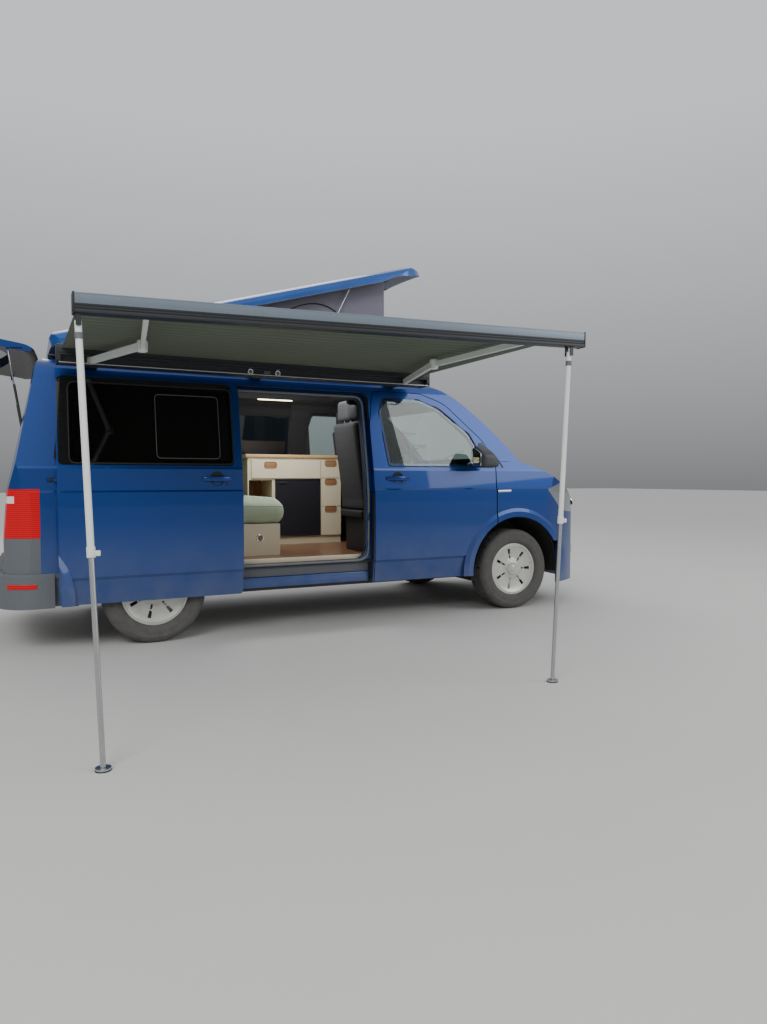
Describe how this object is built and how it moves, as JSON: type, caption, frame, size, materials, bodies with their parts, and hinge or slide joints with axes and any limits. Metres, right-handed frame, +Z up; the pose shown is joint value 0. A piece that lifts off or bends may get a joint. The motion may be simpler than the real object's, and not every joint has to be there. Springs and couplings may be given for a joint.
{
  "type": "camper van",
  "caption": "Compact camper van with a raised lifting roof and tent, open tailgate and side sliding door, roof-side awning on legs, and kitchen and bench inside.",
  "frame": {"origin": "On the ground under the middle of the whole object as it stands, open tailgate and awning included.", "axes": "+X is forward along the van, +Y is to its left, +Z is up; the awning is on the right, -Y side."},
  "size_m": [6.0198, 4.2549, 2.8594],
  "materials": {
    "paint": "metallic deep blue",
    "roof_paint": "painted laminate, deep blue",
    "grey_plastic": "grained grey",
    "black_plastic": "black",
    "glass": "tinted",
    "clear_glass": "clear",
    "lamp_red": "red lens",
    "lamp_clear": "clear lens over reflector",
    "tyre": "moulded",
    "silver": "silver",
    "steel": "satin",
    "dark_steel": "black chassis paint",
    "cast": "cast",
    "trim": "dark grey",
    "seat_cloth": "dark woven",
    "cream": "cream laminate board",
    "floor_wood": "wood plank",
    "sage": "sage woven",
    "tent_cloth": "dark grey canvas",
    "awning_cloth": "striped grey green",
    "anthracite": "anthracite",
    "white_alu": "white powder coat",
    "fridge_dark": "dark front"
  },
  "bodies": {
    "van": {"side_panel_right": "paint", "side_panel_left": "paint", "roof_panel": "paint", "front_wings": "paint", "front_bumper": "paint", "grille": "black_plastic", "headlamps": "lamp_clear", "windscreen": "clear_glass", "scuttle": "black_plastic", "side_windows": "glass", "sliding_door": "paint", "sliding_door_window": "glass", "tail_lamps": "lamp_red", "rear_bumper": "grey_plastic", "underbody": "dark_steel", "tent": "tent_cloth", "awning_case": "anthracite", "awning_arms": "white_alu", "awning_lead_rail": "anthracite", "awning_fabric": "awning_cloth", "front_subframe": "dark_steel", "rear_suspension": "dark_steel", "engine": "cast", "fuel_tank": "trim", "exhaust": "steel", "dashboard": "trim", "front_seats": "seat_cloth", "furniture": "cream", "fridge": "fridge_dark", "cushions": "sage", "wood_floor": "floor_wood"},
    "tailgate": {"tailgate": "paint", "tailgate_window": "glass"},
    "tailgate_barrels": {"tailgate_strut_barrels": "dark_steel"},
    "tailgate_rods": {"tailgate_strut_rods": "steel"},
    "bonnet": {"bonnet": "paint"},
    "door_right": {"front_door_right": "paint", "front_door_window_right": "clear_glass", "door_mirror_right": "black_plastic"},
    "door_left": {"front_door_left": "paint", "front_door_window_left": "clear_glass", "door_mirror_left": "black_plastic"},
    "lifting_roof": {"pop_roof": "roof_paint"},
    "roof_barrels": {"roof_strut_barrels": "silver"},
    "roof_rods": {"roof_strut_rods": "steel"},
    "knuckle_right": {"knuckle_right": "cast"},
    "knuckle_left": {"knuckle_left": "cast"},
    "steering_wheel": {"steering_wheel": "trim"},
    "leg_rear_upper": {"awning_leg_rear_upper": "white_alu"},
    "leg_rear_lower": {"awning_leg_rear_lower": "white_alu"},
    "leg_front_upper": {"awning_leg_front_upper": "white_alu"},
    "leg_front_lower": {"awning_leg_front_lower": "white_alu"},
    "wheel_front_right": {"wheel_front_right": "silver", "tyre_front_right": "tyre"},
    "wheel_front_left": {"wheel_front_left": "silver", "tyre_front_left": "tyre"},
    "wheel_rear_right": {"wheel_rear_right": "silver", "tyre_rear_right": "tyre"},
    "wheel_rear_left": {"wheel_rear_left": "silver", "tyre_rear_left": "tyre"}
  },
  "joints": [
    {"name": "tailgate_hinge", "type": "hinge", "parent": "van", "child": "tailgate", "pos_m": [-1.568, 0.962, 1.956], "axis": [0, -1, 0], "range_deg": [0, 86]},
    {"name": "tailgate_strut_pivot", "type": "hinge", "parent": "van", "child": "tailgate_barrels", "pos_m": [-1.668, 0.962, 1.306], "axis": [0, 1, 0], "range_deg": [0, 21.26]},
    {"name": "tailgate_strut_slide", "type": "slide", "parent": "tailgate_barrels", "child": "tailgate_rods", "axis": [0.1485, 0, -0.9889], "range_m": [0, 0.1796]},
    {"name": "roof_lift", "type": "hinge", "parent": "van", "child": "lifting_roof", "pos_m": [-1.785, 0.962, 1.95], "axis": [0, 1, 0], "range_deg": [0, 16.1], "deforming": ["tent"]},
    {"name": "roof_strut_pivot", "type": "hinge", "parent": "van", "child": "roof_barrels", "pos_m": [0.329, 0.962, 1.955], "axis": [0, 1, 0], "range_deg": [0, 63.52]},
    {"name": "roof_strut_slide", "type": "slide", "parent": "roof_barrels", "child": "roof_rods", "axis": [-0.4505, 0, -0.8928], "range_m": [0, 0.3383]},
    {"name": "bonnet_hinge", "type": "hinge", "parent": "van", "child": "bonnet", "pos_m": [2.242, 0.962, 1.262], "axis": [0, -1, 0], "range_deg": [0, 60]},
    {"name": "door_right_hinge", "type": "hinge", "parent": "van", "child": "door_right", "pos_m": [1.889, -0.005, 1.1], "axis": [0, 0, 1], "range_deg": [0, 68]},
    {"name": "door_left_hinge", "type": "hinge", "parent": "van", "child": "door_left", "pos_m": [1.889, 1.929, 1.1], "axis": [0, 0, -1], "range_deg": [0, 68]},
    {"name": "steering", "type": "hinge", "parent": "van", "child": "knuckle_right", "pos_m": [2.102, 0.208, 0.343], "axis": [0, 0, 1], "range_deg": [-35, 35]},
    {"name": "steering_left", "type": "hinge", "parent": "van", "child": "knuckle_left", "pos_m": [2.102, 1.716, 0.343], "axis": [0, 0, 1], "range_deg": [-35.2, 35.2]},
    {"name": "steering_wheel_turn", "type": "hinge", "parent": "van", "child": "steering_wheel", "pos_m": [1.652, 1.362, 1.16], "axis": [-0.822, 0, 0.5695], "range_deg": [-512, 512]},
    {"name": "wheel_spin_front_right", "type": "hinge", "parent": "knuckle_right", "child": "wheel_front_right", "pos_m": [2.102, 0.148, 0.343], "axis": [0, 1, 0], "continuous": true},
    {"name": "wheel_spin_front_left", "type": "hinge", "parent": "knuckle_left", "child": "wheel_front_left", "pos_m": [2.102, 1.776, 0.343], "axis": [0, 1, 0], "continuous": true},
    {"name": "wheel_spin_rear_right", "type": "hinge", "parent": "van", "child": "wheel_rear_right", "pos_m": [-0.898, 0.148, 0.343], "axis": [0, 1, 0], "continuous": true},
    {"name": "wheel_spin_rear_left", "type": "hinge", "parent": "van", "child": "wheel_rear_left", "pos_m": [-0.898, 1.776, 0.343], "axis": [0, 1, 0], "continuous": true},
    {"name": "awning_leg_rear_fold", "type": "hinge", "parent": "van", "child": "leg_rear_upper", "pos_m": [-1.468, -1.838, 1.75054], "axis": [-0.004, -0.989, 0.1478], "range_deg": [0, 90.13]},
    {"name": "awning_leg_rear_slide", "type": "slide", "parent": "leg_rear_upper", "child": "leg_rear_lower", "axis": [-0.0245, 0.1479, 0.9887], "range_m": [0, 0.6]},
    {"name": "awning_leg_front_fold", "type": "hinge", "parent": "van", "child": "leg_front_upper", "pos_m": [1.064, -1.838, 1.81906], "axis": [0.0009, 0.9994, -0.0333], "range_deg": [0, 83.96]},
    {"name": "awning_leg_front_slide", "type": "slide", "parent": "leg_front_upper", "child": "leg_front_lower", "axis": [0.0783, 0.0331, 0.9964], "range_m": [0, 0.6]}
  ],
  "couplings": [
    {"joint": "tailgate_strut_pivot", "follows": "tailgate_hinge", "ratio": 0.24371},
    {"joint": "tailgate_strut_slide", "follows": "tailgate_hinge", "m_per_rad": 0.11897},
    {"joint": "roof_strut_pivot", "follows": "roof_lift", "ratio": 3.9269},
    {"joint": "roof_strut_slide", "follows": "roof_lift", "m_per_rad": 1.2002},
    {"joint": "steering_left", "follows": "steering", "ratio": 1},
    {"joint": "steering_wheel_turn", "follows": "steering", "ratio": 14.6}
  ]
}
